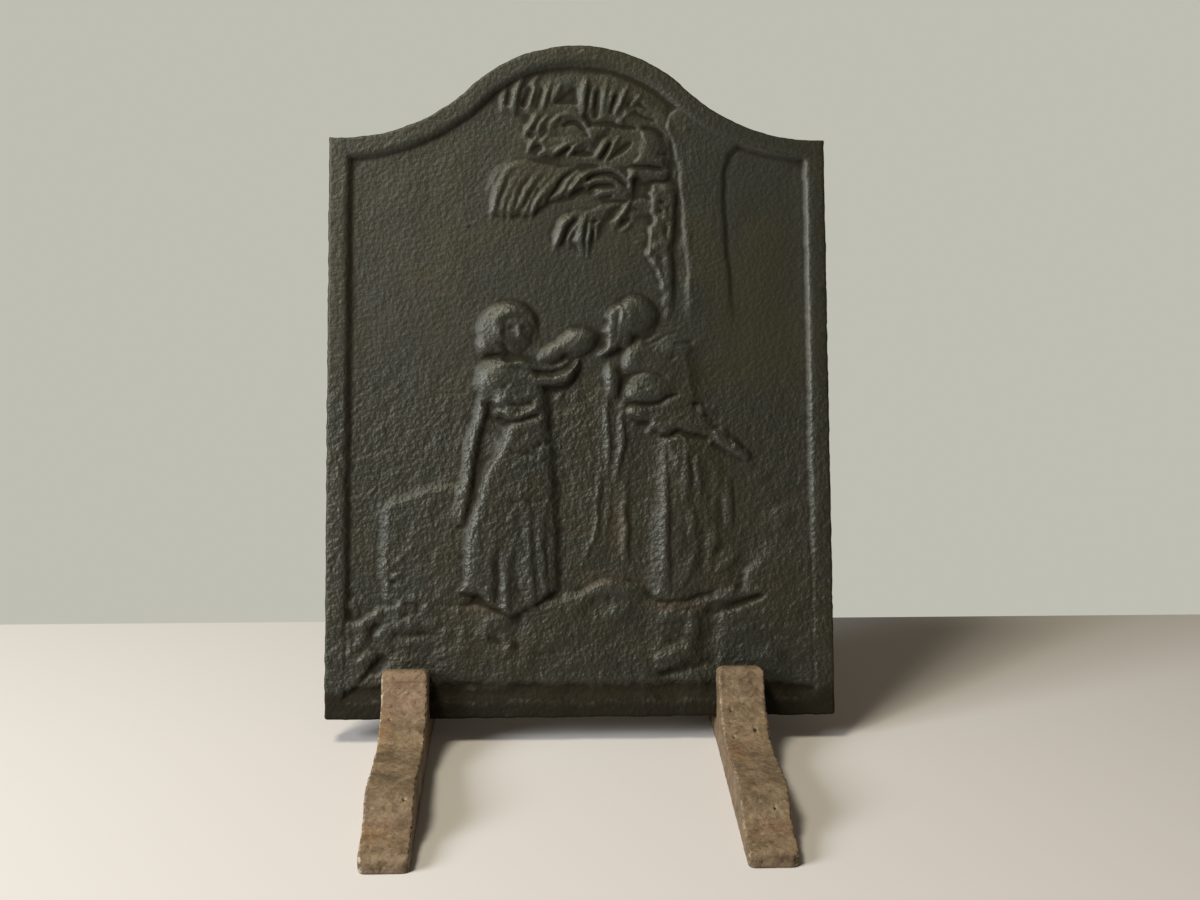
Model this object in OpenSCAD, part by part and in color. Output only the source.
// Cast-iron fireback: an arched plate with a raised rim and a pictorial relief,
// standing in the slots of two loose cast feet.
// Millimetres. +Z is up, the relief faces -Y, +X is to the viewer's right.
// The origin is on the floor, under the middle of the whole object's box.

/* [Plate] */
// Width of the plate
plate_w = 400; // [320:1:520]
// Height of the plate's shoulders, measured along the plate
shoulder_h = 462; // [360:1:600]
// Height of the arch above the shoulders
arch_rise = 77.6; // [60:0.2:110]
// Radius of the arch's crown
crown_r = 125.7; // [100:0.1:140]
// Level shoulder left at each end of the arch
shoulder_flat = 8.5; // [5:0.5:14]
// Rounding of the two bottom corners
corner_r = 4; // [1:0.5:8]
// Thickness of the sunken field
field_t = 12; // [8:0.5:18]
// Height of the rim above the field
rim_step = 4; // [2:0.5:6]
// Width of the rim at the sides and round the arch
rim_w = 16; // [10:0.5:24]
// Height of the plain band along the bottom
band_h = 18; // [12:0.5:26]
// Height of the groove between the band and the relief
groove_h = 10; // [6:0.5:16]
// Angle that the plate leans back from upright
lean = 15; // [8:0.5:20]

/* [Relief] */
// Height of the ground above the field
ground_rise = 2.5; // [1:0.25:3.5]
// Height of the tree above the field
tree_rise = 3; // [1:0.25:5]
// Height of the robed figures above the field
figure_rise = 5; // [2:0.25:7]
// Extra height of heads, arms and the vessel
detail_rise = 1.5; // [0.5:0.25:3]

/* [Feet] */
// Height of the plate's lower front edge above the floor
seat_h = 20.7; // [16:0.1:35]
// Reach of the toe in front of that edge
toe_reach = 200; // [150:1:260]
// Reach of the rear leg behind that edge
heel_reach = 150; // [110:1:220]
// Width of the foot at its lip and behind it
foot_w = 36; // [26:0.5:50]
// Width of the foot at its toe
toe_w = 33.5; // [22:0.5:46]
// Distance that the toe stands nearer the middle than the lip does
toe_in = 6; // [0:0.5:12]
// Height of the toe's front face
toe_h = 11.5; // [8:0.5:16]
// Length of the low tread behind the toe
tread_l = 34; // [24:1:50]
// Height of the hump behind the tread
hump_h = 30; // [22:0.5:40]
// Height of the hollow between the hump and the lip
dip_h = 25; // [19:0.5:32]
// Height of the lip's top above the plate's lower edge, along the plate
lip_h = 39.5; // [25:0.5:60]
// Thickness of the lip near its top
lip_t = 20; // [14:0.5:30]
// Height of the rear upright above the plate's lower edge, along the plate
rear_h = 95; // [60:1:140]
// Thickness of the rear upright at its top
rear_t = 14; // [10:0.5:24]
// Height of the rear leg's end
heel_h = 11; // [7:0.5:18]
// Distance from the plate's left end to the left foot's outer face
left_inset = 46.4; // [20:0.2:90]
// Distance from the plate's right end to the right foot's outer face
right_inset = 58.6; // [20:0.2:90]
// Gap between the plate and each wall of the slots
fit_gap = 0.3; // [0.2:0.05:1]

/* [Hidden] */

rim_t = field_t + rim_step;
// Thickest part of the plate that the slots have to hold.
grip_t = max(rim_t, field_t + ground_rise);
peak_h = shoulder_h + arch_rise;

// The arch is a convex crown arc that runs into a concave flank arc on each side.
flank_x = plate_w / 2 - shoulder_flat;
centre_gap = (pow(flank_x, 2) + pow(arch_rise, 2)) / (2 * arch_rise);
flank_r = centre_gap - crown_r;
arch_steps = 72;

// Depth of the whole object, which puts the origin under its middle.
back_y = max(heel_reach, peak_h * sin(lean) + rim_t * cos(lean));
mid_y = (back_y - toe_reach) / 2;

// Sink of raised shapes into the field, so that they are one solid with it.
root_t = 1;
// Size of the plate on which the relief was drawn; its points scale with the plate.
drawn_w = 400;
drawn_h = 462;
// Steps between two drawn points of a smooth line.
curve_steps = 4;
// Length that reaches past any foot or slot.
beyond = 400;

// ---- geometry helpers ----

function unit(v) = v / norm(v);

// Points of the arc of radius r that rounds the corner a-b-c.
function fillet(a, b, c, r, n = 6) =
    let (u = unit(a - b), v = unit(c - b), half = acos(u * v) / 2,
         centre = b + unit(u + v) * r / sin(half),
         p = b + u * r / tan(half), q = b + v * r / tan(half),
         from = atan2(p.y - centre.y, p.x - centre.x),
         to = atan2(q.y - centre.y, q.x - centre.x),
         turn = (to - from + 540) % 360 - 180)
    [for (i = [0:n]) centre + r * [cos(from + turn * i / n), sin(from + turn * i / n)]];

// An outline whose corners are rounded, each by its own radius.
function rounded(pts, radii) =
    let (n = len(pts))
    [for (i = [0:n - 1])
        each radii[i] > 0 ? fillet(pts[(i + n - 1) % n], pts[i], pts[(i + 1) % n], radii[i]) : [pts[i]]];

// One point of a smooth curve through b and c, with neighbours a and d.
function spline_point(a, b, c, d, t) =
    0.5 * (2 * b + (c - a) * t + (2 * a - 5 * b + 4 * c - d) * t * t + (3 * b - a - 3 * c + d) * t * t * t);

// A smooth closed outline through the given points.
function closed_curve(p) =
    let (n = len(p))
    [for (i = [0:n - 1], k = [0:curve_steps - 1])
        spline_point(p[(i + n - 1) % n], p[i], p[(i + 1) % n], p[(i + 2) % n], k / curve_steps)];

// A smooth open line through the given points.
function open_curve(p) =
    let (n = len(p))
    [for (i = [0:n - 2], k = [0:curve_steps - (i == n - 2 ? 0 : 1)])
        spline_point(p[max(i - 1, 0)], p[i], p[i + 1], p[min(i + 2, n - 1)], k / curve_steps)];

// The outline of a strip along a smooth line, with its width at each end.
function strip(p, w0, w1) =
    let (c = open_curve(p), n = len(c),
         side = [for (i = [0:n - 1])
             let (d = unit(c[min(i + 1, n - 1)] - c[max(i - 1, 0)]), w = w0 + (w1 - w0) * i / (n - 1))
             [-d.y, d.x] * w / 2])
    concat([for (i = [0:n - 1]) c[i] + side[i]], [for (i = [n - 1:-1:0]) c[i] - side[i]]);

// Drawn points, scaled to this plate.
function drawn(p) = [for (q = p) [q.x * plate_w / drawn_w, q.y * shoulder_h / drawn_h]];

// Height of the arch at x, on an outline that lies inset inside the edge.
function arch_y(x, inset) =
    let (ax = abs(x), join_x = flank_x * (crown_r - inset) / centre_gap)
    ax <= join_x ? peak_h - crown_r + sqrt(pow(crown_r - inset, 2) - ax * ax)
    : ax < flank_x ? shoulder_h + flank_r - sqrt(pow(flank_r + inset, 2) - pow(flank_x - ax, 2))
    : shoulder_h - inset;

// The plate's outline, set in from its edge, down to the height bottom.
function plate_outline(inset, bottom, r) =
    let (half = plate_w / 2 - inset)
    concat(
        fillet([half, shoulder_h], [half, bottom], [-half, bottom], r),
        fillet([half, bottom], [-half, bottom], [-half, shoulder_h], r),
        [for (i = [0:arch_steps]) let (x = half * (2 * i / arch_steps - 1)) [x, arch_y(x, inset)]]);

// Puts the flat-lying plate, with its back on z = 0, where it stands.
module stand() {
    translate([0, -mid_y, seat_h]) rotate([90 - lean, 0, 0]) translate([0, 0, -rim_t]) children();
}

// ---- the plate and its relief ----

// A raised shape, cut off under the rim and at the groove.
module raised(rise) {
    translate([0, 0, field_t - root_t]) linear_extrude(root_t + rise) intersection() {
        children();
        polygon(plate_outline(rim_w / 2, band_h + groove_h, corner_r));
    }
}

module shape(p) {
    polygon(closed_curve(drawn(p)));
}

module band(p, w0, w1) {
    polygon(strip(drawn(p), w0, w1));
}

module rimmed_plate() {
    difference() {
        linear_extrude(rim_t) polygon(plate_outline(0, 0, corner_r));
        translate([0, 0, field_t]) linear_extrude(2 * rim_step) polygon(plate_outline(rim_w, band_h, corner_r));
    }
}

module ground() {
    edge = plate_w / 2;
    hill = drawn([[-158, 100], [-158, 166], [-137, 176], [-102, 186], [-88, 150], [-82, 98], [-50, 84],
        [-20, 95], [0, 103], [23, 116], [50, 107], [62, 92], [100, 96], [128, 120], [141, 136], [145, 158], [156, 170]]);
    raised(ground_rise) polygon(concat([[edge, 0], [-edge, 0], [-edge, hill[0].y]],
        open_curve(hill), [[edge, hill[len(hill) - 1].y]]));
    raised(ground_rise + detail_rise) {
        shape([[58, 48], [84, 52], [91, 66], [88, 84], [70, 82], [57, 68]]);
        shape([[-74, 50], [-56, 52], [-52, 66], [-62, 76], [-76, 70]]);
        band([[-172, 50], [-158, 66], [-147, 84]], 6, 9);
        band([[-150, 78], [-142, 94], [-140, 112]], 5, 8);
        band([[104, 84], [124, 88], [146, 94]], 5, 3);
        band([[146, 168], [162, 166], [180, 168]], 5, 5);
    }
}

// A frond: leaves that fan out and droop from a stem.
module frond(stem, leaves, w) {
    band(stem, w, w / 2);
    for (leaf = leaves) band(leaf, w, w / 4);
}

module palm() {
    raised(tree_rise) {
        band([[102, 500], [99, 450], [101, 390], [103, 340], [104, 292]], 44, 38);
        band([[60, 424], [67, 390], [68, 355], [75, 318]], 24, 18);
    }
    raised(tree_rise + detail_rise) {
        for (x = [-46:13:46])
            band([[x * 0.5 + 14, 480], [x * 0.85 + 4, 494], [x, 510 - abs(x) / 8]], 7, 3);
        for (x = [-34:15:41])
            band([[x * 0.6 + 14, 482], [x * 0.9 + 3, 470], [x - 4, 452 - abs(x) / 9]], 8, 3);
        frond([[58, 424], [36, 436], [6, 440], [-28, 442], [-58, 438]],
            [for (i = [0:5]) [[20 - 16 * i, 440], [6 - 16 * i, 426 - i], [-8 - 13 * i, 404 - 2 * i]]], 7);
        frond([[62, 408], [40, 408], [18, 402], [2, 396]],
            [for (i = [0:3]) [[34 - 11 * i, 405 - i], [25 - 11 * i, 392], [20 - 12 * i, 372 + i]]], 6);
    }
}

module left_figure() {
    raised(figure_rise) {
        shape([[-72, 283], [-81, 274], [-82, 258], [-76, 240], [-66, 226], [-75, 194], [-84, 160], [-88, 130],
            [-95, 98], [-82, 94], [-60, 80], [-38, 85], [-19, 98], [-17, 140], [-18, 180], [-21, 222], [-24, 244],
            [-32, 262], [-44, 282], [-58, 284]]);
        band([[-78, 262], [-83, 230], [-91, 200], [-95, 170], [-93, 150]], 12, 8);
    }
    raised(figure_rise + detail_rise) {
        shape([[-79, 290], [-79, 308], [-72, 322], [-58, 328], [-42, 326], [-34, 314], [-38, 296], [-44, 285], [-64, 284]]);
        band([[-70, 272], [-44, 266], [-20, 267], [-3, 279]], 17, 10);
        shape([[-33, 284], [-30, 294], [-14, 305], [2, 306], [13, 297], [8, 287], [-10, 281], [-26, 280]]);
    }
}

module right_figure() {
    raised(figure_rise) {
        shape([[38, 286], [36, 262], [40, 238], [58, 222], [62, 196], [56, 150], [54, 122], [59, 94], [80, 89], [100, 95],
            [118, 106], [122, 130], [118, 168], [112, 196], [104, 222], [92, 244], [88, 270], [84, 298], [70, 302], [52, 294]]);
        band([[27, 276], [27, 240], [26, 210], [30, 184]], 16, 8);
    }
    raised(figure_rise + detail_rise) {
        shape([[14, 284], [18, 300], [20, 322], [34, 331], [48, 334], [61, 325], [62, 314], [50, 303], [36, 298], [30, 288]]);
        band([[84, 286], [66, 262], [44, 256], [26, 270]], 20, 10);
        band([[58, 226], [82, 227], [106, 229], [124, 218], [134, 206]], 8, 10);
    }
}

module fireback_plate() {
    color("#33312e") stand() {
        rimmed_plate();
        ground();
        palm();
        left_figure();
        right_figure();
    }
}

// ---- the feet ----

// A point of the foot's side view, given in the plate's own directions:
// s along the plate from its lower edge, n out from its front.
function beside_plate(s, n) =
    [s * sin(lean) - n * cos(lean), seat_h + s * cos(lean) + n * sin(lean)];

// The line over the toe, the hump and the hollow, up to the lip's front.
function front_line() =
    let (toe = -toe_reach, step = toe + tread_l, hump = step + 24,
         lip = beside_plate(lip_h - 10, lip_t), hollow = (hump + lip.x) / 2)
    open_curve([
        [toe + 2, toe_h], [toe + tread_l / 2, toe_h + 2], [step, toe_h + 5], [step + 9, hump_h - 7],
        [hump, hump_h - 0.5], [hump + 15, hump_h], [hollow - 6, dip_h + 1], [hollow + 16, dip_h],
        [lip.x - 36, dip_h + 3.5], [lip.x - 21, dip_h + 9], lip]);

// The line from the rear upright's top down to the end of the rear leg.
function rear_line() =
    let (top = beside_plate(rear_h - 6, -rim_t - rear_t), mid = (top.x + heel_reach) / 2)
    open_curve([
        top, beside_plate(rear_h / 2, -rim_t - rear_t - 6), [mid - 16, seat_h + 17], [mid + 10, seat_h + 4],
        [(mid + heel_reach) / 2 + 6, heel_h + 5], [heel_reach - 3, heel_h]]);

module side_view() {
    lip_top = fillet(beside_plate(0, lip_t), beside_plate(lip_h, lip_t), beside_plate(lip_h, 0), 7);
    rear_top = fillet(beside_plate(rear_h, -rim_t), beside_plate(rear_h, -rim_t - rear_t),
        beside_plate(0, -rim_t - rear_t), 5);
    polygon(concat([[-toe_reach, 0], [-toe_reach, toe_h - 2]], front_line(), lip_top,
        [beside_plate(lip_h, 0), beside_plate(rear_h, -rim_t)], rear_top, rear_line(),
        [[heel_reach, heel_h - 3], [heel_reach, 0]]));
}

module top_view() {
    tip = toe_in;
    polygon(rounded([[-foot_w / 2, heel_reach], [foot_w / 2, heel_reach], [foot_w / 2, 0],
        [tip + toe_w / 2, -toe_reach], [tip - toe_w / 2, -toe_reach], [-foot_w / 2, 0]],
        [6, 6, 0, 5, 5, 0]));
}

// A foot whose middle is at x = 0, with its toe set to the +X side.
module foot() {
    difference() {
        translate([0, -mid_y, 0]) intersection() {
            translate([-beyond / 2, 0, 0]) rotate([90, 0, 90]) linear_extrude(beyond) side_view();
            linear_extrude(beyond) top_view();
        }
        stand() translate([-beyond / 2, -fit_gap, -fit_gap]) cube([beyond, beyond, grip_t + 2 * fit_gap]);
    }
}

module left_foot() {
    color("#6e5745") translate([-plate_w / 2 + left_inset + foot_w / 2, 0, 0]) foot();
}

module right_foot() {
    color("#6e5745") translate([plate_w / 2 - right_inset - foot_w / 2, 0, 0]) mirror([1, 0, 0]) foot();
}

fireback_plate();
left_foot();
right_foot();
